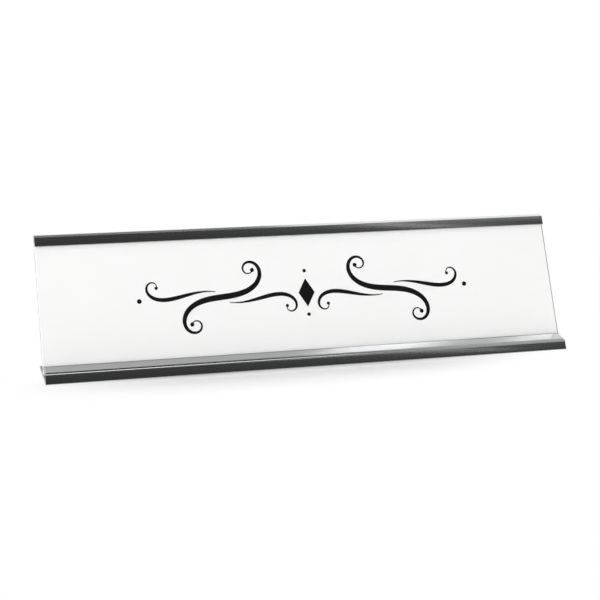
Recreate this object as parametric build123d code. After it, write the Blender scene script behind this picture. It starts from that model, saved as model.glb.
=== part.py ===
from build123d import *
from math import cos, radians, sin, tan
import os

# Driving dimensions, in mm and degrees.
lean = 25.0  # how far the plate leans back from upright
plate_length = 203.2  # holder and insert, whose ends are flush

insert_height = 50.8
insert_thickness = 1.6
insert_edge_round = 0.2  # softened cut edges
insert_corner_round = 0.8  # corners of the plate, seen from its face
slide_gap = 0.15  # play between the insert and each wall of its channels

base_depth = 24.0  # sole, from the front edge to the end of the rear foot
base_thickness = 1.2
back_wall = 1.4
top_wall = 1.05  # roof over the front of the channel's top, measured up the plate
roof_fall = 6.0  # degrees by which the roof falls to the front
lip_wall = 1.0  # thickness of the lips that hold the insert from the front
top_lip_cover = 3.07  # height of the insert hidden by the top lip
nose_lip_cover = 2.83  # height of the insert hidden by the nose
nose_reach = 4.1  # how far the nose stands in front of the lips
nose_face = 4.15  # front face of the nose, from the sole to the slope
nose_wall = 1.2

nose_round = 2.0  # between the front face and the slope
top_round = 0.18  # front edge of the roof
rear_round = 1.4  # rear edge of the roof
foot_round = 0.5  # rear end of the foot
heel_round = 1.5  # inner corner behind the back wall
lip_round = 0.18  # edges of both lips and the front edge of the sole
cavity_round = 0.2  # inner corners of the nose
end_break = 0.12  # deburred outline of both cut ends

pad_diameter = 8.0
pad_thickness = 0.6
pad_rim = 0.15  # bevel round the pad's lower rim
pad_side_inset = 12.0  # from the end of the holder to the pad's centre
pad_front_inset = 7.0  # from the front of the sole to a front pad's centre, out of the reader's sight
pad_rear_inset = 5.0  # from the rear of the foot to a rear pad's centre

# The section has its front bottom edge at (0, 0), with y to the back and z up.
# Points on the leaning plate are (up, out): up the plate from the insert's seat,
# and out from the front of the back wall towards the reader.
slope_sin = sin(radians(lean))
slope_cos = cos(radians(lean))
slope_tan = tan(radians(lean))

channel = insert_thickness + 2 * slide_gap
lip_front = channel + lip_wall
nose_front = lip_front + nose_reach
front_edge_up = -(base_thickness + nose_front * slope_sin) / slope_cos
seat_y = nose_front * slope_cos - front_edge_up * slope_sin
seat_z = base_thickness

insert_top = slide_gap + insert_height
channel_top = insert_top + slide_gap
roof_angle = radians(lean + roof_fall)  # between the roof and a line square to the plate


def on_plate(up, out):
    return (seat_y + up * slope_sin - out * slope_cos, seat_z + up * slope_cos + out * slope_sin)


def sole_top_up(out):
    return -out * slope_tan


def roof_up(out):
    return channel_top + top_wall - (out - channel) * tan(roof_angle)


# The origin is on the desk, under the middle of the object's depth.
front_most = lip_round * ((1 + slope_sin) / slope_cos - 1)
rear_out = rear_round - back_wall  # centre of the rear edge's round
rear_most = on_plate(roof_up(rear_out) - rear_round / cos(roof_angle), rear_out)[0] + rear_round
to_frame = Location((0, -(front_most + rear_most) / 2, pad_thickness))


# The nose's slope, from its foot on the front face to its head against the insert.
slope_foot = Vector(front_edge_up + nose_face, nose_front)
slope_head = Vector(slide_gap + nose_lip_cover, lip_front)
slope_along = (slope_head - slope_foot).normalized()
slope_inner = slope_foot + Vector(slope_along.Y, -slope_along.X) * nose_wall


def slope_inner_up(out):
    return slope_inner.X + (out - slope_inner.Y) * slope_along.X / slope_along.Y


def holder_outline():
    cavity_front = nose_front - nose_wall
    lip_bottom = insert_top - top_lip_cover
    lip_back = lip_bottom + lip_wall * slope_tan  # the lip's underside is level
    return [
        ((0, 0), lip_round),
        (on_plate(slope_foot.X, slope_foot.Y), nose_round),
        (on_plate(slope_head.X, slope_head.Y), lip_round),
        (on_plate(slope_head.X, channel), lip_round),
        (on_plate(slope_inner_up(channel), channel), 0),
        (on_plate(slope_inner_up(cavity_front), cavity_front), cavity_round),
        (on_plate(sole_top_up(cavity_front), cavity_front), cavity_round),
        (on_plate(sole_top_up(channel), channel), 0),
        (on_plate(0, channel), 0),
        (on_plate(0, 0), 0),
        (on_plate(channel_top, 0), 0),
        (on_plate(channel_top, channel), 0),
        (on_plate(lip_back, channel), lip_round),
        (on_plate(lip_bottom, lip_front), lip_round),
        (on_plate(roof_up(lip_front), lip_front), top_round),
        (on_plate(roof_up(-back_wall), -back_wall), rear_round),
        (on_plate(sole_top_up(-back_wall), -back_wall), heel_round),
        ((base_depth, base_thickness), foot_round),
        ((base_depth, 0), foot_round),
    ]


def make_holder():
    points, rounds = zip(*holder_outline())
    with BuildPart() as holder:
        with BuildSketch(Plane.YZ.offset(-plate_length / 2)):
            with BuildLine():
                FilletPolyline(*points, radius=rounds, close=True)
            make_face()
        extrude(amount=plate_length)
        ends = holder.faces().filter_by(Axis.X)
        chamfer(ends.edges(), end_break)
    return holder.part


def make_insert():
    middle_up = slide_gap + insert_height / 2
    middle_out = slide_gap + insert_thickness / 2
    y, z = on_plate(middle_up, middle_out)
    plate = Box(plate_length, insert_thickness, insert_height)
    plate = fillet(plate.edges().filter_by(Axis.Y), insert_corner_round)
    faces = plate.faces().filter_by(Axis.Y)
    plate = fillet(faces.edges(), insert_edge_round)
    return Location((0, y, z), (-lean, 0, 0)) * plate


def make_pad(x, y):
    pad = Cylinder(pad_diameter / 2, pad_thickness, align=(Align.CENTER, Align.CENTER, Align.MAX))
    pad = chamfer(pad.faces().sort_by(Axis.Z)[0].edges(), pad_rim)
    return Location((x, y, 0)) * pad


parts = {"holder": make_holder(), "insert_plate": make_insert()}
pad_x = plate_length / 2 - pad_side_inset
for side, x in (("left", -pad_x), ("right", pad_x)):
    for row, y in (("front", pad_front_inset), ("rear", base_depth - pad_rear_inset)):
        parts[f"{row}_{side}_pad"] = make_pad(x, y)

os.makedirs("parts", exist_ok=True)
for name, shape in parts.items():
    export_step(to_frame * shape, f"parts/{name}.step")
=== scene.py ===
import bpy
import bmesh
from math import cos, pi, radians, sin, sqrt
from mathutils import Matrix, Vector


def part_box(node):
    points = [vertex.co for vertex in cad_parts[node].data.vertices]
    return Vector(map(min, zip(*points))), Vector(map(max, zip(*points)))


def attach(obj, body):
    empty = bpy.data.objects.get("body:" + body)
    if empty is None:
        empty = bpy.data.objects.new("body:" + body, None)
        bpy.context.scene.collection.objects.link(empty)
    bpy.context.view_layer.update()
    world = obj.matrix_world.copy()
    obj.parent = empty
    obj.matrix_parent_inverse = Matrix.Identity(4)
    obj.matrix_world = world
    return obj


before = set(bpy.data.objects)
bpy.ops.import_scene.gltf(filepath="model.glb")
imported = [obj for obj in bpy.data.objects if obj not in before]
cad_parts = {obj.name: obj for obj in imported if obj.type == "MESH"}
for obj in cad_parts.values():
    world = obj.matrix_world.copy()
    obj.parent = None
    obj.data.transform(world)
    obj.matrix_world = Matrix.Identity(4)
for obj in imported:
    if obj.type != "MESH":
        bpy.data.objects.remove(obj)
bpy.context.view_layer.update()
scene = bpy.context.scene
scene.view_settings.view_transform = "Standard"
print("frame loaded:", len(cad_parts), "nodes")

plateLean = 25.0  # degrees, as the plate leans back
noiseSpread = (0.3, 0.7)  # where most of a noise's values lie
endless = 1e6  # metres, a span along which nothing changes
mm = 0.001


# helpers for materials and meshes

def startMaterial(name):
    material = bpy.data.materials.new(name)
    material.use_nodes = True
    tree = material.node_tree
    return material, tree, tree.nodes["Principled BSDF"]


def grey(level):
    return (level, level, level, 1.0)


def addNode(tree, kind, inputs, **settings):
    node = tree.nodes.new(kind)
    for key, value in settings.items():
        setattr(node, key, value)
    for key, value in inputs.items():
        if isinstance(value, bpy.types.NodeSocket):
            tree.links.new(value, node.inputs[key])
        else:
            node.inputs[key].default_value = value
    return node


def objectCoords(tree):
    return addNode(tree, "ShaderNodeTexCoord", {}).outputs["Object"]


def splitPlace(tree, vector):
    return addNode(tree, "ShaderNodeSeparateXYZ", {0: vector}).outputs


def addNoise(tree, coords, noise):
    mapped = addNode(tree, "ShaderNodeMapping", {"Vector": coords, "Scale": noise["stretch"]})
    made = addNode(tree, "ShaderNodeTexNoise",
                   {"Vector": mapped.outputs[0], "Scale": 1.0, "Detail": noise["detail"]})
    return made.outputs["Fac"]


def addRange(tree, value, fromRange, toRange, smooth=False):
    node = addNode(tree, "ShaderNodeMapRange",
                   {"Value": value, "From Min": fromRange[0], "From Max": fromRange[1],
                    "To Min": toRange[0], "To Max": toRange[1]},
                   interpolation_type="SMOOTHSTEP" if smooth else "LINEAR")
    return node.outputs[0]


def addMath(tree, operation, first, second=0.0):
    return addNode(tree, "ShaderNodeMath", {0: first, 1: second}, operation=operation).outputs[0]


def addBand(tree, value, start, end, level=1.0):
    rise = addRange(tree, value, start, (0.0, 1.0), True)
    fall = addRange(tree, value, end, (level, 0.0), True)
    return addMath(tree, "MULTIPLY", rise, fall)


def mixValue(tree, factor, first, second):
    return addNode(tree, "ShaderNodeMix", {0: factor, 2: first, 3: second}, data_type="FLOAT").outputs[0]


def mixColour(tree, factor, first, second):
    return addNode(tree, "ShaderNodeMix", {0: factor, 6: first, 7: second}, data_type="RGBA").outputs[2]


def reachFrom(tree, coords, place, span):
    moved = addNode(tree, "ShaderNodeMapping", {"Vector": coords, "Location": place, "Scale": span},
                    vector_type="TEXTURE")
    return addNode(tree, "ShaderNodeVectorMath", {0: moved.outputs[0]}, operation="LENGTH").outputs["Value"]


def addBump(tree, height, bump, under=None, raised=True):
    inputs = {"Strength": bump["strength"], "Distance": bump["distance"], "Height": height}
    if under is not None:
        inputs["Normal"] = under
    return addNode(tree, "ShaderNodeBump", inputs, invert=not raised).outputs[0]


def dress(node, material):
    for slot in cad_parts[node].material_slots:
        slot.material = material


def finishMesh(name, shape, material):
    mesh = bpy.data.meshes.new(name)
    shape.to_mesh(mesh)
    shape.free()
    mesh.materials.append(material)
    piece = bpy.data.objects.new(name, mesh)
    scene.collection.objects.link(piece)
    return piece


# camera, as the photograph sees the plate

cameraLook = {
    "place": (-0.1399, -0.5093, 0.1372),  # metres, in front and to the left
    "yaw": 15.04,  # degrees, turned to the right
    "pitch": 12.21,  # degrees, looking down
    "lens": 84.55,  # mm
    "sensor": 36.0,  # mm
    "nearest": 0.01,  # metres, where the view starts
}


def addCamera(look):
    data = bpy.data.cameras.new("plateCamera")
    data.lens = look["lens"]
    data.sensor_width = look["sensor"]
    data.clip_start = look["nearest"]
    yaw = radians(look["yaw"])
    pitch = radians(look["pitch"])
    forward = Vector((sin(yaw) * cos(pitch), cos(yaw) * cos(pitch), -sin(pitch)))
    camera = bpy.data.objects.new("plateCamera", data)
    camera.location = look["place"]
    camera.rotation_euler = forward.to_track_quat("-Z", "Y").to_euler()
    scene.collection.objects.link(camera)
    scene.camera = camera


addCamera(cameraLook)
print("camera set")


# pale floor with a low wall round it

floorLook = {
    "radius": 4.0,
    "sides": 128,
    "rimHeight": 1.0,
    "gap": 0.0001,  # under the pads
    "colour": 0.95,
    "roughness": 0.9,
    "shadowMiddle": (-0.009, -0.018, 0.0),
    "shadowSpan": (0.111, 0.045, 1.0),  # metres, beyond which the floor is plain white
    "shadowFade": (0.3, 1.0),  # parts of that span
    "shadowLift": 0.20,  # share of plain white in the middle
    "edgeMiddle": (-0.004, -0.0160, 0.0),
    "edgeSpan": (0.095, 0.0046, 1.0),  # metres, where the floor glows a little, painted light that makes the shadow along the nose lighter
    "edgeFade": (0.4, 1.0),
    "edgeLift": 0.23,
}


def floorMaterial(look):
    material, tree, shader = startMaterial("paleFloor")
    shader.inputs["Base Color"].default_value = grey(look["colour"])
    shader.inputs["Roughness"].default_value = look["roughness"]
    shader.inputs["Specular IOR Level"].default_value = 0.0
    coords = objectCoords(tree)
    reach = reachFrom(tree, coords, look["shadowMiddle"], look["shadowSpan"])
    lift = addRange(tree, reach, look["shadowFade"], (look["shadowLift"], 1.0), True)
    # painted light: the floor glows along the nose to lighten its shadow there
    edgeReach = reachFrom(tree, coords, look["edgeMiddle"], look["edgeSpan"])
    edgeLift = addRange(tree, edgeReach, look["edgeFade"], (look["edgeLift"], 0.0), True)
    lift = addMath(tree, "MINIMUM", addMath(tree, "ADD", lift, edgeLift), 1.0)
    path = addNode(tree, "ShaderNodeLightPath", {})
    seen = addMath(tree, "MAXIMUM", path.outputs["Is Camera Ray"], path.outputs["Is Glossy Ray"])
    seen = addMath(tree, "MAXIMUM", seen, path.outputs["Is Transmission Ray"])
    glow = addNode(tree, "ShaderNodeEmission", {"Color": grey(1.0), "Strength": 1.0})
    mixed = addNode(tree, "ShaderNodeMixShader",
                    {0: addMath(tree, "MULTIPLY", seen, lift), 1: shader.outputs[0], 2: glow.outputs[0]})
    tree.links.new(mixed.outputs[0], tree.nodes["Material Output"].inputs[0])
    return material


def addFloor(look):
    shape = bmesh.new()
    bmesh.ops.create_circle(shape, cap_ends=True, segments=look["sides"], radius=look["radius"])
    wall = bmesh.ops.extrude_edge_only(shape, edges=[e for e in shape.edges if e.is_boundary])
    rim = [g for g in wall["geom"] if isinstance(g, bmesh.types.BMVert)]
    bmesh.ops.translate(shape, verts=rim, vec=(0, 0, look["rimHeight"]))
    bmesh.ops.translate(shape, verts=shape.verts[:], vec=(0, 0, -look["gap"]))
    finishMesh("floor", shape, floorMaterial(look))


addFloor(floorLook)
print("floor laid")


# plain room, whose soft light and dark the metal mirrors

roomLook = {
    "leftLevel": 0.45,
    "leftSides": (-0.50, -0.10),  # x part of the ray, here and in all the sides below
    "frontLevels": (0.080, 0.107),  # on the left and on the right
    "frontSides": (0.10, 0.38),
    "frontTurn": (33.0, 48.0),  # degrees from the front over the top, here and in all the turns below
    "frontRise": (0.85, 1.3),
    "rightLevel": 0.60,  # overhead, on the right only
    "rightSides": (0.25, 0.36),
    "rightTurn": (37.0, 57.0),
    "backLevels": (0.35, 1.32),  # on the left and on the right
    "backSides": (0.222, 0.265),
    "backTurn": (104.0, 120.0),
    "streakLevel": 1.40,  # a lighter place in the front, which both rails mirror
    "streakStart": (0.616, 0.628),
    "streakEnd": (0.628, 0.641),
    "streakSlant": 0.4125,
    "streakTurn": (30.0, 40.0),
}


def turnRange(tree, turn, angles, levels, smooth=True):
    return addRange(tree, turn, [radians(a) for a in angles], levels, smooth)


def addRoom(look):
    world = bpy.data.worlds.new("studioRoom")
    world.use_nodes = True
    scene.world = world
    tree = world.node_tree
    ray = splitPlace(tree, addNode(tree, "ShaderNodeTexCoord", {}).outputs["Generated"])
    across = ray["X"]
    turn = addMath(tree, "ARCTAN2", ray["Z"], addMath(tree, "MULTIPLY", ray["Y"], -1.0))
    left = addRange(tree, across, look["leftSides"], (look["leftLevel"], 0.0), True)
    front = addRange(tree, across, look["frontSides"], look["frontLevels"], True)
    upFront = turnRange(tree, turn, look["frontTurn"], look["frontRise"], False)
    front = addMath(tree, "ADD", left, addMath(tree, "MULTIPLY", front, upFront))
    right = addRange(tree, across, look["rightSides"], (0.0, look["rightLevel"]), True)
    right = addMath(tree, "MULTIPLY", right, turnRange(tree, turn, look["rightTurn"], (0.0, 1.0)))
    slanted = addMath(tree, "ADD", across, addMath(tree, "MULTIPLY", turn, look["streakSlant"]))
    streak = addBand(tree, slanted, look["streakStart"], look["streakEnd"], look["streakLevel"])
    streak = addMath(tree, "MULTIPLY", streak, turnRange(tree, turn, look["streakTurn"], (0.0, 1.0)))
    near = addMath(tree, "ADD", front, addMath(tree, "MAXIMUM", streak, right))
    back = addRange(tree, across, look["backSides"], look["backLevels"], True)
    over = turnRange(tree, turn, look["backTurn"], (0.0, 1.0))
    background = tree.nodes["Background"]
    background.inputs["Color"].default_value = grey(1.0)
    tree.links.new(mixValue(tree, over, near, back), background.inputs["Strength"])


addRoom(roomLook)
print("room set")


# lamps, all aimed at the plate

lamps = {
    "frontKey": {
        "place": (-1.65, -2.25, 1.0),
        "size": (1.2, 0.9),
        "watts": 43.0,
        "mirrored": False,  # kept out of reflections
    },
    "backFill": {
        "place": (1.265, 1.247, 1.46),
        "size": (0.7, 0.75),
        "watts": 36.0,
        "mirrored": False,
        "spares": "insert_plate",  # lights all but this
    },
    "ridgeStrip": {
        "place": (0.09, -0.445, 1.22),
        "size": (0.64, 0.3),
        "watts": 1.1,
    },
    "topSoftbox": {
        "place": (0.423, 0.097, 1.23),
        "size": (0.26, 0.135),
        "watts": 0.80,
        "twist": -25.0,  # degrees round its own aim
        "lights": "insert_plate",  # and nothing else
    },
    "endSoftbox": {
        "place": (0.655, 0.097, 1.23),
        "size": (0.26, 0.075),
        "watts": 0.36,
        "twist": -25.0,
        "lights": "insert_plate",
    },
}


def addLamp(name, lamp):
    data = bpy.data.lights.new(name, "AREA")
    data.shape = "RECTANGLE"
    data.size, data.size_y = lamp["size"]
    data.energy = lamp["watts"]
    light = bpy.data.objects.new(name, data)
    light.location = lamp["place"]
    light.visible_glossy = lamp.get("mirrored", True)
    aim = (-Vector(lamp["place"])).to_track_quat("-Z", "Y").to_matrix()
    light.rotation_euler = (aim @ Matrix.Rotation(radians(lamp.get("twist", 0.0)), 3, "Z")).to_euler()
    scene.collection.objects.link(light)
    for key, state in (("lights", "INCLUDE"), ("spares", "EXCLUDE")):
        if key in lamp:
            linked = bpy.data.collections.new(name + "Linked")
            linked.objects.link(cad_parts[lamp[key]])
            linked.collection_objects[0].light_linking.link_state = state
            light.light_linking.receiver_collection = linked


for lampName, lamp in lamps.items():
    addLamp(lampName, lamp)
print("lamps lit")


# aluminium holder

holderLook = {
    "node": "holder",
    "dark": (0.41, 0.415, 0.42, 1.0),
    "light": (0.475, 0.48, 0.485, 1.0),
    "gloss": (0.09, 0.13),  # roughness of the drawn faces
    "lines": {"stretch": (4.0, 1300.0, 1300.0), "detail": 3.0},  # fine lines of the drawing
    "lineBump": {"strength": 0.18, "distance": 0.00004},
    "streaks": {"stretch": (4.0, 320.0, 320.0), "detail": 3.0},
    "smudges": {"stretch": (45.0, 90.0, 90.0), "detail": 4.0},
    "waves": {"stretch": (3.0, 260.0, 260.0), "detail": 1.0},
    "waveBump": {"strength": 0.3, "distance": 0.0001},
    "cut": (0.56, 0.56, 0.56, 1.0),  # both sawn ends
    "cutFacing": (0.55, 0.85),
    "cutGloss": 0.38,
    "sawn": {"Scale": 900.0, "Distortion": 3.0, "Detail": 2.0},
    # painted shade: dark colour in the crease where the slope meets the insert, and inside the nose's hollow
    "paintedShade": (0.10, 0.10, 0.10, 1.0),
    "lipEdge": (0.0, -0.00890, 0.00573),  # head of the slope, against the insert
    "lipReach": (0.00025, 0.00055),
    "lipPaintedShade": 0.85,
    "hollow": (0.0, -0.0110, 0.0029),  # middle of the nose's inside
    "hollowSpan": (endless, 0.0030, 0.0016),
    "hollowReach": (0.95, 1.15),
    "hollowPaintedShade": 0.5,
    "filedHighlight": (0.86, 0.86, 0.86, 1.0),  # filed edges at both ends of the slope: lighter bare metal, partly a painted highlight of the light these edges catch
    "filedHighlightReach": (0.10090, 0.10112),
    "filedHighlightFacing": (0.7, 0.9),
    "filedHighlightBack": (-0.0086, -0.0082),
    "filedHighlightGloss": 0.34,
    "wall": -0.00759,  # inside of the channel, behind the insert
    "wallReach": (0.0001, 0.0002),
    "wallColour": (0.60, 0.60, 0.60, 1.0),
    "wallGloss": 0.55,
    "crowned": (  # faces that are drawn a little crowned, the nose and the top lip, or dished, the slope
        {"lean": plateLean, "middle": -0.00445, "half": 0.0017, "crown": 14.0, "dished": False},
        {"lean": plateLean, "middle": 0.04819, "half": 0.0017, "crown": 14.0, "dished": False},
        {"lean": 75.17, "middle": -0.00934, "half": 0.0021, "crown": 6.0, "dished": True},
    ),
}


def leanedPlace(tree, coords, lean):
    turned = addNode(tree, "ShaderNodeMapping", {"Vector": coords, "Rotation": (radians(lean), 0.0, 0.0)})
    return splitPlace(tree, turned.outputs[0])


# lighter filed edges at both ends of the slope, partly a painted highlight
def filedHighlightMask(tree, look, coords, facing):
    place = splitPlace(tree, coords)
    ends = addRange(tree, addMath(tree, "ABSOLUTE", place["X"]), look["filedHighlightReach"], (0.0, 1.0), True)
    upper = addRange(tree, facing["Z"], look["filedHighlightFacing"], (0.0, 1.0), True)
    front = addRange(tree, place["Y"], look["filedHighlightBack"], (1.0, 0.0), True)
    return addMath(tree, "MULTIPLY", ends, addMath(tree, "MULTIPLY", upper, front))


# painted shade in the crease at the head of the slope and in the nose's hollow, kept off the sawn ends
def paintedShadeMask(tree, look, coords, cut):
    toEdge = reachFrom(tree, coords, look["lipEdge"], (endless, 1.0, 1.0))
    lip = addRange(tree, toEdge, look["lipReach"], (look["lipPaintedShade"], 0.0), True)
    toHollow = reachFrom(tree, coords, look["hollow"], look["hollowSpan"])
    hollow = addRange(tree, toHollow, look["hollowReach"], (look["hollowPaintedShade"], 0.0), True)
    return addMath(tree, "MAXIMUM", lip, addMath(tree, "SUBTRACT", hollow, cut))


def wallMask(tree, look, coords):
    depth = leanedPlace(tree, coords, plateLean)["Y"]
    off = addMath(tree, "ABSOLUTE", addMath(tree, "SUBTRACT", depth, look["wall"]))
    return addRange(tree, off, look["wallReach"], (1.0, 0.0))


def crownedNormal(tree, look, coords, normal):
    for face in look["crowned"]:
        up = leanedPlace(tree, coords, face["lean"])["Z"]
        off = addMath(tree, "ABSOLUTE", addMath(tree, "SUBTRACT", up, face["middle"]))
        off = addMath(tree, "MINIMUM", off, face["half"])
        bump = {"strength": 1.0, "distance": face["crown"]}
        normal = addBump(tree, addMath(tree, "MULTIPLY", off, off), bump, normal, face["dished"])
    return normal


def aluminiumMaterial(look):
    material, tree, shader = startMaterial("drawnAluminium")
    shader.inputs["Metallic"].default_value = 1.0
    texture = addNode(tree, "ShaderNodeTexCoord", {})
    coords = texture.outputs["Object"]
    facing = splitPlace(tree, texture.outputs["Normal"])
    lines = addNoise(tree, coords, look["lines"])
    streaks = addNoise(tree, coords, look["streaks"])
    smudges = addNoise(tree, coords, look["smudges"])
    waves = addNoise(tree, coords, look["waves"])
    cut = addRange(tree, addMath(tree, "ABSOLUTE", facing["X"]), look["cutFacing"], (0.0, 1.0), True)
    filedHighlight = filedHighlightMask(tree, look, coords, facing)
    wall = wallMask(tree, look, coords)
    paintedShade = paintedShadeMask(tree, look, coords, cut)

    colour = mixColour(tree, addRange(tree, streaks, noiseSpread, (0.0, 1.0)), look["dark"], look["light"])
    colour = mixColour(tree, wall, colour, look["wallColour"])
    colour = mixColour(tree, cut, colour, look["cut"])
    # lighter filed edges, partly a painted highlight
    colour = mixColour(tree, filedHighlight, colour, look["filedHighlight"])
    # painted shade in the crease and the hollow
    colour = mixColour(tree, paintedShade, colour, look["paintedShade"])
    tree.links.new(colour, shader.inputs["Base Color"])

    gloss = addRange(tree, mixValue(tree, 0.5, lines, smudges), noiseSpread, look["gloss"])
    gloss = mixValue(tree, wall, gloss, look["wallGloss"])
    gloss = mixValue(tree, cut, gloss, look["cutGloss"])
    gloss = mixValue(tree, filedHighlight, gloss, look["filedHighlightGloss"])
    tree.links.new(gloss, shader.inputs["Roughness"])

    sawn = addNode(tree, "ShaderNodeTexWave", {"Vector": coords, **look["sawn"]}, bands_direction="DIAGONAL")
    normal = addBump(tree, mixValue(tree, cut, lines, sawn.outputs["Fac"]), look["lineBump"])
    normal = addBump(tree, waves, look["waveBump"], normal)
    tree.links.new(crownedNormal(tree, look, coords, normal), shader.inputs["Normal"])
    return material


dress(holderLook["node"], aluminiumMaterial(holderLook))
print("holder finished")


# white insert

insertLook = {
    "node": "insert_plate",
    "low": (0.905, 0.905, 0.90, 1.0),
    "high": (0.925, 0.925, 0.92, 1.0),
    "cloud": {"stretch": (30.0, 30.0, 30.0), "detail": 3.0},
    "gloss": (0.12, 0.15),
    "grain": {"stretch": (2200.0, 2200.0, 2200.0), "detail": 2.0},
    "grainBump": {"strength": 0.08, "distance": 0.00002},
    "rim": (0.30, 0.30, 0.30, 1.0),  # painted shade along the right end, the side turned away from the key lamp
    "rimStart": (0.10105, 0.10125),
    "rimEnd": (0.10148, 0.10156),
}


def whiteMaterial(look):
    material, tree, shader = startMaterial("whitePlastic")
    coords = objectCoords(tree)
    cloud = addNoise(tree, coords, look["cloud"])
    grain = addNoise(tree, coords, look["grain"])
    face = mixColour(tree, cloud, look["low"], look["high"])
    # painted shade: a dark line along the right end only
    rim = addBand(tree, splitPlace(tree, coords)["X"], look["rimStart"], look["rimEnd"])
    tree.links.new(mixColour(tree, rim, face, look["rim"]), shader.inputs["Base Color"])
    tree.links.new(addRange(tree, cloud, noiseSpread, look["gloss"]), shader.inputs["Roughness"])
    tree.links.new(addBump(tree, grain, look["grainBump"]), shader.inputs["Normal"])
    return material


dress(insertLook["node"], whiteMaterial(insertLook))
print("insert finished")


# printed flourish, a mirrored pair of scrolls round a lozenge, in mm on the insert's face

flourish = {
    "film": 0.03,  # thickness of the ink
    "sunk": 0.01,
    "plateThickness": 1.6,
    "drop": 0.12,  # from the middle of the plate to the middle of what shows of it
    "steps": 160,  # along each stroke
    "finest": 1e-6,  # square of half the width at a ball's tip
    "lozenge": (3.2, 5.6),  # half its width and height
    "dots": ((64.6, 0.0, 0.9), (0.0, 8.6, 0.7), (0.0, -8.6, 0.7)),  # place and radius
    "dotSides": 32,
    "strokes": (
        {"middle": 0.5, "place": (33.0, 0.0), "heading": -5.0, "length": 72.0, "bend": (0.70, -0.70),
         "curl": 5.0, "thin": 0.35, "thick": 2.3, "swell": 1.3, "balls": (0.8, 0.8)},
        {"middle": 0.0, "place": (35.5, 2.2), "heading": 11.0, "length": 36.0, "bend": (-0.07, 0.84),
         "curl": 4.0, "thin": 0.30, "thick": 1.6, "swell": 1.5, "balls": (0.15, 0.65)},
        {"middle": 0.0, "place": (30.5, -2.2), "heading": 191.0, "length": 36.0, "bend": (-0.07, 0.84),
         "curl": 4.0, "thin": 0.30, "thick": 1.6, "swell": 1.5, "balls": (0.15, 0.65)},
    ),
    "dark": grey(0.003),
    "light": grey(0.008),
    "shine": 0.12,
    "gloss": (0.52, 0.66),
    "mottle": {"stretch": (700.0, 700.0, 700.0), "detail": 3.0},
    "mottleBump": {"strength": 0.1, "distance": 0.00002},
}


def strokeWidth(stroke, along):
    part = along / stroke["length"]
    width = stroke["thin"] + (stroke["thick"] - stroke["thin"]) * sin(pi * part) ** stroke["swell"]
    for ball, gap in zip(stroke["balls"], (along, stroke["length"] - along)):
        if gap < ball:
            return 2 * sqrt(max(ball ** 2 - (ball - gap) ** 2, flourish["finest"]))
        if gap < 2 * ball:
            width = max(width, 2 * sqrt(max(ball ** 2 - (gap - ball) ** 2, 0.0)))
    return width


def drawStroke(shape, stroke):
    length = stroke["length"]
    steps = flourish["steps"]
    alongs = [length * (0.5 - 0.5 * cos(pi * i / steps)) for i in range(steps + 1)]  # fine near both ends
    width = strokeWidth(stroke, 0.0)
    ends = [shape.verts.new((0.0, side * width / 2, 0.0)) for side in (1, -1)]
    edge = shape.edges.new(ends)
    drawn = list(ends)
    point = Vector((0, 0, 0))
    heading = 0.0
    anchor = (point.copy(), heading)
    startBend, endBend = stroke["bend"]
    for i in range(steps):
        stride = alongs[i + 1] - alongs[i]
        part = (alongs[i] + alongs[i + 1]) / 2 / length
        turn = stride * (startBend * (1 - part) ** stroke["curl"] + endBend * part ** stroke["curl"])
        grown = bmesh.ops.extrude_edge_only(shape, edges=[edge])["geom"]
        ends = [g for g in grown if isinstance(g, bmesh.types.BMVert)]
        edge = [g for g in grown if isinstance(g, bmesh.types.BMEdge)][0]
        move = Vector((cos(heading + turn / 2), sin(heading + turn / 2), 0)) * stride
        point = point + move
        heading = heading + turn
        ratio = strokeWidth(stroke, alongs[i + 1]) / strokeWidth(stroke, alongs[i])
        bmesh.ops.translate(shape, verts=ends, vec=move)
        bmesh.ops.rotate(shape, verts=ends, cent=point, matrix=Matrix.Rotation(turn, 3, "Z"))
        bmesh.ops.scale(shape, verts=ends, vec=(ratio, ratio, 1), space=Matrix.Translation(-point))
        drawn += ends
        if i + 1 == round(stroke["middle"] * steps):
            anchor = (point.copy(), heading)
    swing = Matrix.Rotation(radians(stroke["heading"]) - anchor[1], 3, "Z")
    bmesh.ops.rotate(shape, verts=drawn, cent=anchor[0], matrix=swing)
    bmesh.ops.translate(shape, verts=drawn, vec=Vector((*stroke["place"], 0)) - anchor[0])


def inkMaterial(look):
    material, tree, shader = startMaterial("blackInk")
    shader.inputs["Specular IOR Level"].default_value = look["shine"]
    mottle = addNoise(tree, objectCoords(tree), look["mottle"])
    tree.links.new(mixColour(tree, mottle, look["dark"], look["light"]), shader.inputs["Base Color"])
    tree.links.new(addRange(tree, mottle, noiseSpread, look["gloss"]), shader.inputs["Roughness"])
    tree.links.new(addBump(tree, mottle, look["mottleBump"]), shader.inputs["Normal"])
    return material


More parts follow.
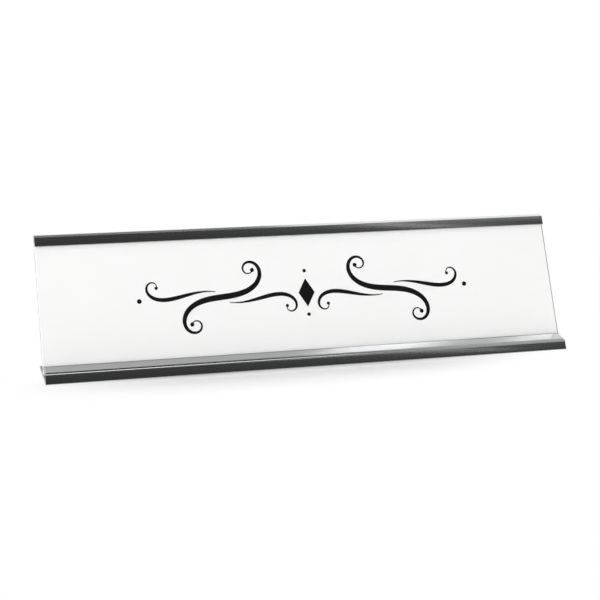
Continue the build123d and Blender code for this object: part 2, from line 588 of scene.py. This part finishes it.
def addFlourish(look):
    shape = bmesh.new()
    for stroke in look["strokes"]:
        drawStroke(shape, stroke)
    drawn = shape.verts[:] + shape.edges[:] + shape.faces[:]
    bmesh.ops.mirror(shape, geom=drawn, axis="X", merge_dist=0.0)
    halfWide, halfTall = look["lozenge"]
    lozenge = bmesh.ops.create_circle(shape, cap_ends=True, segments=4, radius=1.0)["verts"]
    bmesh.ops.scale(shape, verts=lozenge, vec=(halfWide, halfTall, 1))
    for across, up, radius in look["dots"]:
        for side in ((1, -1) if across else (1,)):
            bmesh.ops.create_circle(shape, cap_ends=True, segments=look["dotSides"], radius=radius,
                                    matrix=Matrix.Translation((side * across, up, 0)))
    bmesh.ops.recalc_face_normals(shape, faces=shape.faces[:])
    grown = bmesh.ops.extrude_face_region(shape, geom=shape.faces[:], use_keep_orig=True)["geom"]
    raised = [g for g in grown if isinstance(g, bmesh.types.BMVert)]
    bmesh.ops.translate(shape, verts=raised, vec=(0, 0, look["film"] + look["sunk"]))
    bmesh.ops.translate(shape, verts=shape.verts[:], vec=(0, 0, -look["sunk"]))
    bmesh.ops.recalc_face_normals(shape, faces=shape.faces[:])
    low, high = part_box("insert_plate")
    middle = (Vector(low) + Vector(high)) / 2
    place = (Matrix.Translation(middle) @ Matrix.Rotation(radians(90 - plateLean), 4, "X")
             @ Matrix.Scale(mm, 4)
             @ Matrix.Translation((0, -look["drop"], look["plateThickness"] / 2)))
    bmesh.ops.transform(shape, matrix=place, verts=shape.verts[:])
    piece = finishMesh("printed_flourish", shape, inkMaterial(look))
    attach(piece, "insert_body")


addFlourish(flourish)
print("flourish printed")


# non-slip pads

padLook = {
    "nodes": ("front_left_pad", "front_right_pad", "rear_left_pad", "rear_right_pad"),
    "dark": (0.020, 0.020, 0.021, 1.0),
    "light": (0.045, 0.045, 0.046, 1.0),
    "gloss": (0.62, 0.85),
    "grain": {"stretch": (1800.0, 1800.0, 1800.0), "detail": 4.0},
    "grainBump": {"strength": 0.4, "distance": 0.00005},
}


def rubberMaterial(look):
    material, tree, shader = startMaterial("padRubber")
    grain = addNoise(tree, objectCoords(tree), look["grain"])
    tree.links.new(mixColour(tree, grain, look["dark"], look["light"]), shader.inputs["Base Color"])
    tree.links.new(addRange(tree, grain, noiseSpread, look["gloss"]), shader.inputs["Roughness"])
    tree.links.new(addBump(tree, grain, look["grainBump"]), shader.inputs["Normal"])
    return material


rubber = rubberMaterial(padLook)
for padNode in padLook["nodes"]:
    dress(padNode, rubber)
print("pads finished")
